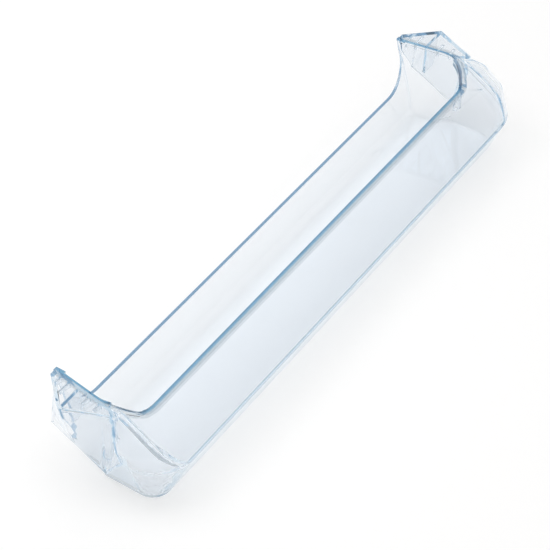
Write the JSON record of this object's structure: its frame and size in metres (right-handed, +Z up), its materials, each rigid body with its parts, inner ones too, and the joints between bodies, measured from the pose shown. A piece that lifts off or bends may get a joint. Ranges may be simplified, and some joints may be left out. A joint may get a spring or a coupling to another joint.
{
  "type": "fridge door shelf",
  "caption": "Long shallow clear plastic trough with a sloping front panel and hooked ears at both ends, which hangs on lugs inside a fridge door.",
  "frame": {"origin": "on the plane that the base stands on, under the middle of the shelf's box", "axes": "+X along the length, -Y to the room, so +Y is the door side, +Z up"},
  "size_m": [0.4872, 0.105, 0.07],
  "materials": {
    "clear_plastic": "clear, pale blue, polished moulding"
  },
  "bodies": {
    "root": {"door_shelf": "clear_plastic"}
  },
  "joints": []
}
